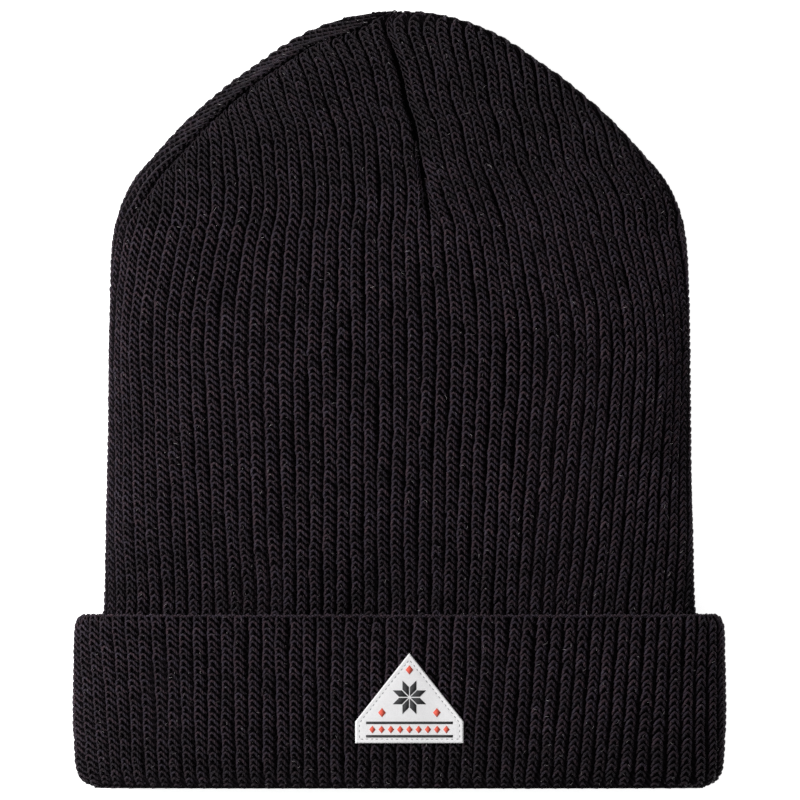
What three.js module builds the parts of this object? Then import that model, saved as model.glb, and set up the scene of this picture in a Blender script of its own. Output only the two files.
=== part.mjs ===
// A rib-knit cap with a turned-up cuff and a sewn-on label, lying on its back.
// Millimetres, +Z up. +Y runs from the folded edge of the cuff to the top of the crown.
// The origin is under the middle of the cap, on the surface that it lies on.
import * as THREE from 'three';

const CAP_LENGTH = 244.3;
const RIBS_AROUND = 96;
const CUFF_RIBS_IN_FRONT = 50; // the rest go round the back, where the cloth is more stretched
const RIB_RELIEF = 0.9; // from a rib's crest down to the groove beside it
const WALL = 3; // thickness of the knitted cloth
const BUTT_GAP = 0.3; // left between pieces that meet
const FULLEST_SHARE = 0.42; // how far up its height a section is widest

// The crown lies flattened. along is measured up from the cuff's folded edge, half is half the width,
// and top and bottom are the heights of its upper and lower faces above the surface it lies on.
const CROWN_SECTIONS = [
  { along: 10.3, half: 95.5, top: 28.4, bottom: 3.7 },
  { along: 30.0, half: 95.2, top: 28.4, bottom: 3.7 },
  { along: 50.0, half: 94.0, top: 27.8, bottom: 3.7 },
  { along: 57.0, half: 92.7, top: 27.4, bottom: 3.0 },
  { along: 68.0, half: 92.3, top: 27.6, bottom: 1.0 },
  { along: 80.0, half: 92.1, top: 28.4, bottom: 0.0 },
  { along: 110.0, half: 91.5, top: 29.6, bottom: 0.0 },
  { along: 147.0, half: 91.0, top: 29.8, bottom: 0.0 },
  { along: 166.0, half: 90.5, top: 29.2, bottom: 0.0 },
  { along: 178.6, half: 88.8, top: 28.0, bottom: 0.0 },
  { along: 184.9, half: 86.6, top: 27.0, bottom: 0.0 },
  { along: 191.2, half: 83.2, top: 25.7, bottom: 0.0 },
  { along: 197.4, half: 78.1, top: 24.2, bottom: 0.0 },
  { along: 210.0, half: 66.5, top: 21.0, bottom: 0.0 },
  { along: 222.6, half: 52.0, top: 17.6, bottom: 0.0 },
  { along: 228.9, half: 42.9, top: 15.6, bottom: 0.0 },
];

// Above the last section the outline is an arc, and the two faces round over to meet at the tip.
const TIP_RADIUS = 67;
const TIP_START = 228.9;
const TIP_HEIGHT = 5.5;
const TIP_TOP_SLOPE = 0.42; // how fast the upper face falls before it rounds over

// The outer face of the cuff. Its corners are round.
const CUFF_SECTIONS = [
  { along: 0.0, half: 97.5, top: 31.2, bottom: 0.0 },
  { along: 3.3, half: 100.1, top: 31.3, bottom: 0.0 },
  { along: 8.0, half: 101.5, top: 31.4, bottom: 0.0 },
  { along: 23.0, half: 102.7, top: 32.0, bottom: 0.0 },
  { along: 46.5, half: 102.3, top: 32.0, bottom: 0.0 },
  { along: 51.5, half: 102.0, top: 31.7, bottom: 0.0 },
  { along: 54.7, half: 100.6, top: 31.4, bottom: 0.0 },
];
const CUFF_HEIGHT = 54.7;
const FOLD_DEPTH = 8; // length over which the cloth turns back on itself at the folded edge
const CUFF_WALL_SHARE = 0.43; // one layer's share of the whole folded thickness

// Four sewn darts close the crown. x is where the front dart lies, and the back dart mirrors it.
const FRONT_DART = [
  { along: 177.0, x: 9.7 },
  { along: 188.0, x: 8.3 },
  { along: 196.0, x: 6.8 },
  { along: 208.0, x: 5.0 },
  { along: 215.0, x: 2.6 },
  { along: 226.5, x: -0.6 },
  { along: 238.0, x: -4.6 },
];
const FRONT_DART_START = 177;
const DART_TIP_SHARE = 0.23; // near the tip the front dart lies this share of half the width off the middle
// The left dart is inset from the outline on the front, and the right one as much on the back.
const SIDE_DART = [
  { along: 176, inset: 2.8 },
  { along: 186, inset: 6.0 },
  { along: 200, inset: 7.2 },
  { along: 216, inset: 7.4 },
  { along: 232, inset: 8.6 },
];
const SIDE_DART_START = 183;
const SIDE_DART_TIP_SHARE = 0.42; // near the tip the inset is at most this share of half the width
const DART_DEPTH = 2.2;
const DART_LEAD = 8; // length over which a dart reaches its full depth
const DART_SPREAD = 2.6; // distance over which the cloth dips into a dart
const DART_RIDGE = 2; // how far the sewn edges stand up inside
const PUCKER = { depth: 0.9, above: 14, reach: 7 }; // an extra dent just above the front dart's start
const THIN_SECTION = 16; // below this thickness ribs and darts become shallower

// The panels between the darts, going round from the left, with their ribs at their foot. Ribs run out at
// the side darts. A panel that starts at a side dart also has one rib pinched in the dart at its end.
const PANELS = [
  { name: 'front left', count: 22, startsAtSide: true },
  { name: 'front right', count: 24, startsAtSide: false },
  { name: 'back right', count: 24, startsAtSide: true },
  { name: 'back left', count: 26, startsAtSide: false },
];
const PINCH_LENGTH = 14; // length over which the pinched rib runs out
// Ribs grow wider towards the tip, by this share of their width at the foot of the front dart.
const RIB_SPREAD = [
  { along: 177, share: 1.0 },
  { along: 188, share: 1.02 },
  { along: 199, share: 1.07 },
  { along: 212, share: 1.13 },
  { along: 222, share: 1.22 },
  { along: 240, share: 1.4 },
];

const LABEL_WIDTH = 34;
const LABEL_CENTRE_X = 3.1;
const LABEL_FOOT = 14.1; // along the cap, from the folded edge
const LABEL_SHOULDER = 21.2;
const LABEL_PEAK = 42.6;
const LABEL_THICKNESS = 0.8;

const KNIT_BLACK = { color: 0x1b181b, roughness: 0.95, metalness: 0 };
const LABEL_WHITE = { color: 0xf1eff2, roughness: 0.8, metalness: 0 };

const mix = (a, b, share) => a + (b - a) * share;
const clamp = (value, low, high) => Math.min(high, Math.max(low, value));
const smooth = (value, low, high) => {
  const t = clamp((value - low) / (high - low), 0, 1);
  return t * t * (3 - 2 * t);
};

// A smooth curve through the rows of a table that doesn't overshoot them.
function readTable(rows, column, along) {
  const last = rows.length - 1;
  if (along <= rows[0].along) return rows[0][column];
  if (along >= rows[last].along) return rows[last][column];
  const i = rows.findIndex((row) => row.along > along) - 1;
  const slope = (k) => (rows[k + 1][column] - rows[k][column]) / (rows[k + 1].along - rows[k].along);
  const tangent = (k) => {
    if (k === 0) return slope(0);
    if (k === last) return slope(last - 1);
    const before = slope(k - 1);
    const after = slope(k);
    return before * after <= 0 ? 0 : (2 * before * after) / (before + after);
  };
  const span = rows[i + 1].along - rows[i].along;
  const t = (along - rows[i].along) / span;
  const t2 = t * t;
  const t3 = t2 * t;
  return (
    (2 * t3 - 3 * t2 + 1) * rows[i][column] +
    (t3 - 2 * t2 + t) * span * tangent(i) +
    (3 * t2 - 2 * t3) * rows[i + 1][column] +
    (t3 - t2) * span * tangent(i + 1)
  );
}

// Half width, top and bottom of the crown's outer face at one distance along the cap.
function crownSize(along) {
  if (along <= TIP_START) {
    return {
      half: readTable(CROWN_SECTIONS, 'half', along),
      top: readTable(CROWN_SECTIONS, 'top', along),
      bottom: readTable(CROWN_SECTIONS, 'bottom', along),
    };
  }
  const left = CAP_LENGTH - along;
  const length = CAP_LENGTH - TIP_START;
  const round = Math.sqrt(1 - (1 - left / length) ** 2);
  const falling = CROWN_SECTIONS[CROWN_SECTIONS.length - 1].top - TIP_TOP_SLOPE * (length - left);
  return {
    half: Math.sqrt(2 * TIP_RADIUS * left - left * left),
    top: mix(TIP_HEIGHT, falling, round),
    bottom: TIP_HEIGHT * (1 - round),
  };
}

// The crown's inner face. The wall keeps its thickness where the outline slopes.
function crownInnerSize(along) {
  const outer = crownSize(along);
  const step = 0.5;
  const slope = (crownSize(along + step).half - crownSize(along - step).half) / (2 * step);
  return {
    half: outer.half - WALL * Math.hypot(1, slope),
    top: outer.top - WALL,
    bottom: outer.bottom + WALL,
  };
}

// A ring of the cuff: depth 0 is its outer face, and depth 1 is the inner face of the cap.
function cuffSize(along, depth) {
  const inner = crownInnerSize(Math.max(along, CROWN_SECTIONS[0].along));
  const size = {};
  for (const column of ['half', 'top', 'bottom']) {
    size[column] = mix(readTable(CUFF_SECTIONS, column, along), inner[column], depth);
  }
  return size;
}

// One flattened section as a closed run of points with their arc lengths, going from the left edge
// over the top to the right edge and back underneath, where it is pressed flat.
function sectionPath(size) {
  const UPPER_POWER = 2.3;
  const LOWER_POWER = 3.5;
  const PRESSED = 1.05;
  const STEPS = 360;
  const middle = mix(size.bottom, size.top, FULLEST_SHARE);
  const path = [];
  for (let i = 0; i <= STEPS; i++) {
    const angle = Math.PI - (2 * Math.PI * i) / STEPS;
    const c = Math.cos(angle);
    const s = Math.sin(angle);
    const power = s >= 0 ? UPPER_POWER : LOWER_POWER;
    const height = s >= 0 ? size.top - middle : (middle - size.bottom) * PRESSED;
    const x = size.half * Math.sign(c) * Math.abs(c) ** (2 / power);
    const z = middle + height * Math.sign(s) * Math.abs(s) ** (2 / power);
    path.push({ x, z: Math.max(z, size.bottom), at: 0 });
  }
  for (let i = 1; i < path.length; i++) {
    path[i].at = path[i - 1].at + Math.hypot(path[i].x - path[i - 1].x, path[i].z - path[i - 1].z);
  }
  return path;
}

const pathLength = (path) => path[path.length - 1].at;

// The point at an arc length, with the direction out of the cloth.
function pointAt(path, at) {
  const total = pathLength(path);
  const wrapped = ((at % total) + total) % total;
  const next = clamp(path.findIndex((p) => p.at > wrapped), 1, path.length - 1);
  const a = path[next - 1];
  const b = path[next];
  const t = (wrapped - a.at) / Math.max(b.at - a.at, 1e-9);
  const before = path[(next + path.length - 3) % (path.length - 1)];
  const after = path[(next + 1) % (path.length - 1)];
  const length = Math.hypot(after.x - before.x, after.z - before.z);
  return {
    x: mix(a.x, b.x, t),
    z: mix(a.z, b.z, t),
    outX: -(after.z - before.z) / length,
    outZ: (after.x - before.x) / length,
  };
}

// The arc length where the upper or the lower face passes x.
function arcAtX(path, x, upper) {
  const half = Math.floor(path.length / 2);
  const from = upper ? 0 : half;
  for (let i = from; i < from + half; i++) {
    const a = path[i];
    const b = path[i + 1];
    if ((a.x - x) * (b.x - x) <= 0 && a.x !== b.x) return mix(a.at, b.at, (x - a.x) / (b.x - a.x));
  }
  return path[half].at;
}

// Where the four darts cross a section of the crown, as arc lengths. The left one comes first.
function dartArcs(path, size, along) {
  const inset = Math.min(readTable(SIDE_DART, 'inset', along), SIDE_DART_TIP_SHARE * size.half);
  const frontX = Math.max(readTable(FRONT_DART, 'x', along), -DART_TIP_SHARE * size.half);
  return [
    arcAtX(path, inset - size.half, true),
    arcAtX(path, frontX, true),
    arcAtX(path, size.half - inset, false),
    arcAtX(path, -frontX, false),
  ];
}

// The arc lengths where each panel starts and ends.
function panelSpans(along) {
  const size = crownSize(along);
  const path = sectionPath(size);
  const arcs = dartArcs(path, size, along);
  return arcs.map((start, i) => ({ start, end: i < 3 ? arcs[i + 1] : arcs[0] + pathLength(path) }));
}

// Runs of rib numbers between the darts, with the arc lengths that they span.
function panelRuns(along) {
  const spans = panelSpans(along);
  const footSpans = panelSpans(FRONT_DART_START);
  const reach = (span) => span.end - span.start;
  let first = 0;
  const pinched = smooth(along, FRONT_DART_START, FRONT_DART_START + PINCH_LENGTH);
  const spread = readTable(RIB_SPREAD, 'share', along);
  return PANELS.map((panel, i) => {
    const left = clamp(reach(spans[i]) / reach(footSpans[i]) / spread, 0, 1);
    const lost = along > FRONT_DART_START ? Math.max(panel.count * (1 - left), pinched) : 0;
    const run = {
      start: spans[i].start,
      end: spans[i].end,
      firstRib: first + (panel.startsAtSide ? lost - pinched : 0),
      lastRib: first + panel.count - (panel.startsAtSide ? pinched : lost),
      footFirst: first,
      footLast: first + panel.count,
    };
    first += panel.count;
    return run;
  });
}

// How far a dart has opened, from 0 at its foot to 1. Darts 0 and 2 are the side ones.
function dartGrowth(dart, along) {
  const foot = dart % 2 === 0 ? SIDE_DART_START : FRONT_DART_START;
  return smooth(along, foot, foot + DART_LEAD);
}

// How far a point of the crown sinks into the darts near it, by its distance along the section.
function dartDip(arc, runs, total, along) {
  let dip = 0;
  runs.forEach((run, i) => {
    const aboveStart = (along - FRONT_DART_START - PUCKER.above) / PUCKER.reach;
    const pucker = i % 2 === 0 ? 0 : PUCKER.depth * Math.exp(-(aboveStart ** 2));
    const gap = Math.abs(arc - run.start);
    const distance = Math.min(gap, Math.abs(total - gap));
    const depth = DART_DEPTH * dartGrowth(i, along) + pucker;
    dip = Math.max(dip, depth * Math.exp(-((distance / DART_SPREAD) ** 2)));
  });
  return dip;
}

// Ribs and darts are pressed away, as this goes to 0, where the cloth lies on the surface.
const clearOfSurface = (point) => smooth(point.z, 0.05, 2);

const place = (point, along, inward, key) => ({
  key,
  x: point.x - point.outX * inward,
  y: along - CAP_LENGTH / 2,
  z: point.z - point.outZ * inward,
});

// The rib numbers at which a run has points: every crest and groove, kept a little clear of its ends.
function ribKeys(run) {
  const CLEAR = 0.15;
  const keys = [run.firstRib];
  const second = Math.ceil((run.firstRib + CLEAR) * 2) / 2;
  for (let key = second; key < run.lastRib - CLEAR; key += 0.5) keys.push(key);
  keys.push(run.lastRib);
  return keys;
}

// A ring of the crown's ribbed outer face, as four runs of points keyed by rib number.
function ribbedCrownRing(along) {
  const size = crownSize(along);
  const path = sectionPath(size);
  const total = pathLength(path);
  const runs = panelRuns(along);
  const shallow = clamp((size.top - size.bottom) / THIN_SECTION, 0, 1);
  return runs.map((run) => {
    const keys = ribKeys(run);
    return keys.map((key, k) => {
      const arc = mix(run.start, run.end, (key - run.firstRib) / (run.lastRib - run.firstRib));
      const point = pointAt(path, arc);
      const onCrest = key % 1 === 0 || k === 0 || k === keys.length - 1;
      const groove = onCrest ? 0 : RIB_RELIEF * clearOfSurface(point);
      const dip = dartDip(arc, runs, total, along) * clearOfSurface(point);
      return place(point, along, (groove + dip) * shallow, key);
    });
  });
}

// A plain ring, used inside the crown and where the cuff covers it.
function plainCrownRing(along, inside) {
  const POINTS_A_PANEL = 14;
  const runs = panelRuns(along);
  const outerPath = sectionPath(crownSize(along));
  const path = inside ? sectionPath(crownInnerSize(along)) : outerPath;
  const scale = pathLength(path) / pathLength(outerPath);
  return runs.map((run, i) => {
    const points = [];
    for (let k = 0; k <= POINTS_A_PANEL; k++) {
      const share = k / POINTS_A_PANEL;
      const point = pointAt(path, mix(run.start, run.end, share) * scale);
      const atDart = share === 0 || share === 1;
      const dart = share === 0 ? i : i + 1;
      const ridge = inside && atDart ? DART_RIDGE * dartGrowth(dart, along) : 0;
      points.push(place(point, along, ridge, mix(run.footFirst, run.footLast, share)));
    }
    return points;
  });
}

// The arc length at which a rib of the cuff lies.
function cuffArc(path, key) {
  const rightEdge = path[(path.length - 1) / 2].at;
  if (key <= CUFF_RIBS_IN_FRONT) return (key / CUFF_RIBS_IN_FRONT) * rightEdge;
  return mix(rightEdge, pathLength(path), (key - CUFF_RIBS_IN_FRONT) / (RIBS_AROUND - CUFF_RIBS_IN_FRONT));
}

// A ring of the cuff. Ribbed rings have a crest and a groove for each rib.
function cuffRing(along, depth, ribbed) {
  const PLAIN_POINTS = 60;
  const path = sectionPath(cuffSize(along, depth));
  const count = ribbed ? RIBS_AROUND * 2 : PLAIN_POINTS;
  const points = [];
  for (let i = 0; i <= count; i++) {
    const key = (i / count) * RIBS_AROUND;
    const point = pointAt(path, cuffArc(path, key));
    const groove = ribbed && i % 2 === 1 ? RIB_RELIEF * clearOfSurface(point) : 0;
    points.push(place(point, along, groove, key));
  }
  return [points];
}

// Collects triangles, and gives a shared number to points that fall together.
class Skin {
  constructor() {
    this.numbers = new Map();
    this.positions = [];
    this.triangles = [];
  }

  point(p) {
    const name = [p.x, p.y, p.z].map((v) => Math.round(v * 1e4)).join(',');
    if (!this.numbers.has(name)) {
      this.numbers.set(name, this.positions.length / 3);
      this.positions.push(p.x, p.y, p.z);
    }
    return this.numbers.get(name);
  }

  triangle(a, b, c) {
    const [i, j, k] = [this.point(a), this.point(b), this.point(c)];
    if (i !== j && j !== k && k !== i) this.triangles.push(i, j, k);
  }

  // Fills between two rings, run by run, always stepping to the nearer rib number.
  join(lower, upper) {
    lower.forEach((low, r) => {
      const high = upper[r];
      let i = 0;
      let j = 0;
      while (i < low.length - 1 || j < high.length - 1) {
        const lowNext = i < low.length - 1 ? low[i + 1].key : Infinity;
        const highNext = j < high.length - 1 ? high[j + 1].key : Infinity;
        if (lowNext <= highNext) {
          this.triangle(low[i], low[i + 1], high[j]);
          i++;
        } else {
          this.triangle(low[i], high[j + 1], high[j]);
          j++;
        }
      }
    });
  }

  // Closes a ring with a fan to one point.
  cap(ring, tip, outward) {
    for (const run of ring) {
      for (let i = 0; i < run.length - 1; i++) {
        if (outward) this.triangle(run[i], run[i + 1], tip);
        else this.triangle(run[i + 1], run[i], tip);
      }
    }
  }

  geometry() {
    const geometry = new THREE.BufferGeometry();
    geometry.setAttribute('position', new THREE.Float32BufferAttribute(this.positions, 3));
    geometry.setIndex(this.triangles);
    geometry.computeVertexNormals();
    return geometry;
  }
}

function crownGeometry() {
  const HIDDEN_ROWS = [10.3, 30];
  const RIBBED_ROWS = [
    50, 62, 80, 120, 160, 174, 181, 186, 190.5, 195, 199.5, 204, 208.5, 213,
    217.5, 222, 226.5, 230.7, 234.4, 237.6, 240.2, 242.2, 243.5, 244.1,
  ];
  const INNER_ROWS = [237, 230, 222, 210, 198, 188, 178, 150, 110, 80, 57, 30, 10.3];
  const INNER_TIP = 238.6;
  const skin = new Skin();
  const rings = [
    ...HIDDEN_ROWS.map((along) => plainCrownRing(along, false)),
    ...RIBBED_ROWS.map(ribbedCrownRing),
  ];
  rings.slice(1).forEach((ring, i) => skin.join(rings[i], ring));
  const tipX = -DART_TIP_SHARE * crownSize(RIBBED_ROWS[RIBBED_ROWS.length - 1]).half;
  skin.cap(rings[rings.length - 1], { x: tipX, y: CAP_LENGTH / 2, z: TIP_HEIGHT }, true);
  const inner = INNER_ROWS.map((along) => plainCrownRing(along, true));
  const innerSize = crownInnerSize(INNER_TIP);
  const innerTip = { x: tipX, y: INNER_TIP - CAP_LENGTH / 2, z: (innerSize.top + innerSize.bottom) / 2 };
  skin.cap(inner[0], innerTip, false);
  inner.slice(1).forEach((ring, i) => skin.join(inner[i], ring));
  skin.join(inner[inner.length - 1], rings[0]);
  return skin.geometry();
}

// The cuff's cloth runs down the outer layer, round the fold and up to meet the crown's lower edge.
function cuffGeometry() {
  const LIP_END = CROWN_SECTIONS[0].along - BUTT_GAP;
  const FOLD_STEPS = 6;
  const ROUNDED = { along: 2.5, lip: 0.7, depth: 0.06 }; // how the cuff's top edge rounds over
  const FULLEST = 24; // where the cuff is widest
  const inside = CUFF_WALL_SHARE;
  const foldDepth = (step) => (1 - Math.cos((Math.PI * step) / FOLD_STEPS)) / 2;
  const foldRise = (step) => Math.sin((Math.PI * step) / FOLD_STEPS);
  const stations = [
    { along: CUFF_HEIGHT, depth: inside / 2 },
    { along: CUFF_HEIGHT - ROUNDED.lip, depth: ROUNDED.depth },
    { along: CUFF_HEIGHT - ROUNDED.along, depth: 0, ribbed: true },
    { along: FULLEST, depth: 0, ribbed: true },
    { along: FOLD_DEPTH, depth: 0, ribbed: true },
  ];
  for (let step = 1; step < FOLD_STEPS; step++) {
    const along = FOLD_DEPTH * (1 - foldRise(step));
    stations.push({ along, depth: foldDepth(step), ribbed: step < 3 });
  }
  stations.push({ along: FOLD_DEPTH, depth: 1 }, { along: LIP_END, depth: 1 });
  stations.push({ along: LIP_END, depth: 1 - inside });
  for (let step = 0; step <= FOLD_STEPS; step += 2) {
    const along = FOLD_DEPTH - (FOLD_DEPTH - WALL) * foldRise(step);
    stations.push({ along, depth: mix(1 - inside, inside, foldDepth(step)) });
  }
  stations.push({ along: FULLEST, depth: inside }, { along: CUFF_HEIGHT - ROUNDED.lip, depth: inside });
  const rings = stations.map(({ along, depth, ribbed }) => cuffRing(along, depth, ribbed));
  const skin = new Skin();
  rings.forEach((ring, i) => skin.join(rings[(i + 1) % rings.length], ring));
  return skin.geometry();
}

// The label is a woven patch with a pointed top, lying on the crests of the cuff's ribs.
function labelGeometry() {
  const COLUMNS = 8;
  const ROWS = 4;
  const left = LABEL_CENTRE_X - LABEL_WIDTH / 2;
  const peakAt = (share) => mix(LABEL_SHOULDER, LABEL_PEAK, 1 - Math.abs(2 * share - 1));
  const surface = (x, along, lift) => {
    const path = sectionPath(cuffSize(along, 0));
    const point = pointAt(path, arcAtX(path, x, true));
    return { x, y: along - CAP_LENGTH / 2, z: point.z + lift };
  };
  const grid = (lift) => {
    const rows = [];
    for (let r = 0; r <= ROWS; r++) {
      const row = [];
      for (let c = 0; c <= COLUMNS; c++) {
        const share = c / COLUMNS;
        const along = mix(LABEL_FOOT, peakAt(share), r / ROWS);
        row.push({ ...surface(left + LABEL_WIDTH * share, along, lift), key: c });
      }
      rows.push([row]);
    }
    return rows;
  };
  const lower = grid(BUTT_GAP);
  const upper = grid(BUTT_GAP + LABEL_THICKNESS);
  const skin = new Skin();
  for (let r = 0; r < ROWS; r++) {
    skin.join(upper[r], upper[r + 1]);
    skin.join(lower[r + 1], lower[r]);
  }
  const side = (rows, c) => [rows.map(([row], r) => ({ ...row[c], key: r }))];
  skin.join(lower[0], upper[0]);
  skin.join(upper[ROWS], lower[ROWS]);
  skin.join(side(upper, 0), side(lower, 0));
  skin.join(side(lower, COLUMNS), side(upper, COLUMNS));
  return skin.geometry();
}

function piece(name, geometry, finish) {
  const mesh = new THREE.Mesh(geometry, new THREE.MeshStandardMaterial(finish));
  mesh.name = name;
  return mesh;
}

const cap = new THREE.Group();
cap.add(piece('crown', crownGeometry(), KNIT_BLACK));
cap.add(piece('cuff', cuffGeometry(), KNIT_BLACK));
cap.add(piece('label', labelGeometry(), LABEL_WHITE));

export default cap;
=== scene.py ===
"""A near-black rib-knit cap with a turned-up cuff and a sewn-on label, lying on its back.

Lengths are in millimetres until a mesh is made. along is measured from the cuff's folded edge to the
top of the crown. A key counts ribs round the cap: whole keys are grooves, and a rib's crest lies half
way between two.
"""

import math

import bpy
import numpy as np
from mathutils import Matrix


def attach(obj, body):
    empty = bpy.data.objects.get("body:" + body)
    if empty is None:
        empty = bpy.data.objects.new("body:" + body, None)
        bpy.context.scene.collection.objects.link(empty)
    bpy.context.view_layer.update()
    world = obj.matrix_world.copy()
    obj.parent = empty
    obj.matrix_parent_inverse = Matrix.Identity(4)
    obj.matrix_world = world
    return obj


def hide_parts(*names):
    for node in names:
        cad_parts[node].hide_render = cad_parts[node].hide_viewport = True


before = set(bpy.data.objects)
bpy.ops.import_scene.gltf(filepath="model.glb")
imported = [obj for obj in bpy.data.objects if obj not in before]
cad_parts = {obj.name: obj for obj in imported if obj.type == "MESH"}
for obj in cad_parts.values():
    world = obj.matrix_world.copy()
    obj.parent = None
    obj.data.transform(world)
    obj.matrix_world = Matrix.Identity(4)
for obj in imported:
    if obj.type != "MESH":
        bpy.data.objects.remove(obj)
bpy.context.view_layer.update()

MM = 0.001
TURN = 2 * math.pi
CAP_LENGTH = 244.3
RIBS_AROUND = 96
FRONT_RIBS = 50  # the cuff's ribs that lie on top
WALL = 3.0
COURSE = 2.05  # height of one stitch along a rib
FULLEST_SHARE = 0.42  # how far up its height a section is widest


def columns(names, rows):
    """A table as a dict of arrays, one for each named column."""
    return dict(zip(names.split(), np.array(rows, float).T))


# The flattened crown: half is half its width, and top and bottom are the heights of its two faces.
CROWN_SECTIONS = columns("along half top bottom", [
    (10.3, 95.5, 28.4, 3.7), (30, 95.2, 28.4, 3.7), (50, 94, 27.8, 3.7), (57, 92.7, 27.4, 3),
    (68, 92.3, 27.6, 1), (80, 92.1, 28.4, 0), (110, 91.5, 29.6, 0), (147, 91, 29.8, 0),
    (166, 90.5, 29.2, 0), (178.6, 88.8, 28, 0), (184.9, 86.6, 27, 0), (191.2, 83.2, 25.7, 0),
    (197.4, 78.1, 24.2, 0), (210, 66.5, 21, 0), (222.6, 52, 17.6, 0), (228.9, 42.9, 15.6, 0),
])
TIP_RADIUS = 67.0
TIP_START = 228.9
TIP_HEIGHT = 5.5
TIP_TOP_SLOPE = 0.42
# The cuff's outer face, which lies on the floor.
CUFF_SECTIONS = columns("along half top", [
    (0, 94.8, 31.2), (0.4, 97.6, 31.2), (1.7, 100.2, 31.3), (4, 101.4, 31.3), (8, 101.9, 31.4),
    (14, 102.3, 31.7), (23, 102.7, 32), (46.5, 102.3, 32), (50.9, 102.1, 31.7), (53, 101.4, 31.6),
    (54.2, 100.2, 31.5), (54.7, 99, 31.4),
])
CUFF_HEIGHT = 54.7
CORNER_CROWDING = 0.04  # share of a face's width in which ribs crowd together at the cuff's corners
LEFT_CROWDING = 0.16  # how much narrower than average the ribs at the cap's left edge are
CROWN_CROWDING_REACH = 0.14
CUFF_CROWDING_REACH = 0.06
CUFF_WRAP = (10.0, 24.0)  # below this band the ribs at the cuff's edges pass round it onto the back
FOLD_DEPTH = 8.0
FOLD_SINK = 0.15  # how far the loops sink into the cloth along the folded edge
FOLD_SINK_REACH = 3.0
CUFF_WALL_SHARE = 0.43
# What the step from the cuff's outer face to its inner one counts for, in millimetres along a rib.
WANDER_DEPTH = 3.0
MAP_DEPTH = 7.0
CROWN_FOOT = 10.3  # the crown's lower edge, hidden in the fold of the cuff
LIP_END = 10.0

# How far the ribs drift sideways, in millimetres to the right on the front, by rib key. The cuff's
# drift is at its folded edge, and the crown's is where it is greatest.
CUFF_DRIFT = columns("key low lowest", [
    (0, 2.4, 0.4), (2, 4, 1), (6, 2.2, 0.5), (12, 0.6, 0), (20, 0, 0), (30, -2.8, 0), (38, -4.2, 0),
    (42, -4.8, 0), (45, -2.6, 0), (50, -0.4, 0), (60, 0, 0), (86, 0, 0), (92, 1, 0.2), (96, 2.4, 0.4),
])
CROWN_DRIFT = columns("key shift", [
    (0, -3), (3, -4.6), (6.5, -4.6), (10.5, -3.4), (14.5, -1), (18.5, 0.2), (22, 1.2), (26.5, 3),
    (30, 4.6), (34, 6), (37.5, 6.6), (41, 6), (44.5, 3.5), (50, 1), (60, 0), (86, 0), (92, -1.5),
    (96, -3),
])
CROWN_DRIFT_SHARE = columns("along share", [
    (55, 0), (80, 0.28), (100, 0.52), (120, 0.80), (138, 1), (150, 0.88), (164, 0.45), (174, 0.15),
    (183, 0.02), (190, 0),
])

# Four sewn darts close the crown.
FRONT_DART = columns("along x", [
    (177, 9.7), (188, 8.3), (196, 6.8), (208, 5), (215, 2.6), (226.5, 0), (238, -4.2),
])
SIDE_DART = columns("along inset", [
    (176, 2.8), (186, 6), (200, 7.2), (216, 7.4), (232, 8.7), (234.6, 10.2), (237, 13.6), (240, 14.2),
])
FRONT_DART_START = 177.0
SIDE_DART_START = 183.0
DART_TIP_SHARE = 0.23
SIDE_DART_TIP_SHARE = 0.58
FRONT_DART_DEPTH = 1.5
SIDE_DART_DEPTH = 1.2
DART_LEAD = (-2.0, 8.0)  # where a dart deepens, counted from its foot
DART_SPREAD = 1.3
DART_FULL_THICKNESS = 16.0  # the darts get shallower where the cap is thinner than this
PUCKER_DEPTH = 1.6  # an extra dent a little above the front dart's foot
PUCKER_ABOVE = 15.0
PUCKER_REACH = 6.0
PANELS = {"front_left": 24, "front_right": 24, "back_right": 24, "back_left": 24}
STARTS_AT_SIDE = np.array([True, False, True, False])
PINCHED_RIBS = np.array([1.1, 1.5, 1.1, 1.5])  # ribs of a panel that run out at the front or back dart
PINCH_LENGTH = 18.0
# How wide the ribs grow towards the tip, as a share of their width at the darts' foot.
RIB_SPREAD = columns("along front back", [
    (177, 1, 1), (199, 1, 1), (216, 1.03, 1.15), (226, 1.07, 1.4), (236, 1.14, 2.1), (242, 1.2, 2.9),
])
PANEL_FACES = ["front", "front", "back", "back"]

# The cloth is uneven in full on top, by the first share at the cap's edges, and by both underneath.
EDGE_UNEVENNESS = 0.05
UNDERSIDE_UNEVENNESS = 0.4
CUFF_UNEVENNESS = 0.8
EVEN_FOLD = (4.0, 20.0)  # it sets in this far from the fold, from the tip and over the floor
EVEN_TIP = (2.0, 26.0)
FLOOR_REACH = (0.05, 2.0)
CUFF_WAVE_SHIFT = (40.0, 70.0)  # in x and along, so that the cuff's waves aren't the crown's
# Gentle waves in the cloth, as wavelengths in x and along, a phase and a height.
WAVES = columns("x_length y_length phase height", [
    (88, 130, 0.4, 0.30), (-61, 74, 2.1, 0.24), (43, 260, 4, 0.20), (37, -52, 5.2, 0.13),
    (-29, 96, 1.3, 0.10),
])
# Soft creases: where each one's middle is, which way it runs, and its length, width and depth.
CREASES = columns("x along turn length width depth", [
    (-56, 152, 68, 22, 5, 0.7), (-28, 122, 62, 30, 5.5, 0.6), (-4, 119, 80, 14, 4, 0.5),
    (15, 131, 75, 18, 4.5, 0.5), (52, 98, 100, 26, 6, 0.5), (-60, 88, 84, 24, 5, 0.4),
    (34, 172, 105, 26, 5, 0.5),
])

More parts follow.
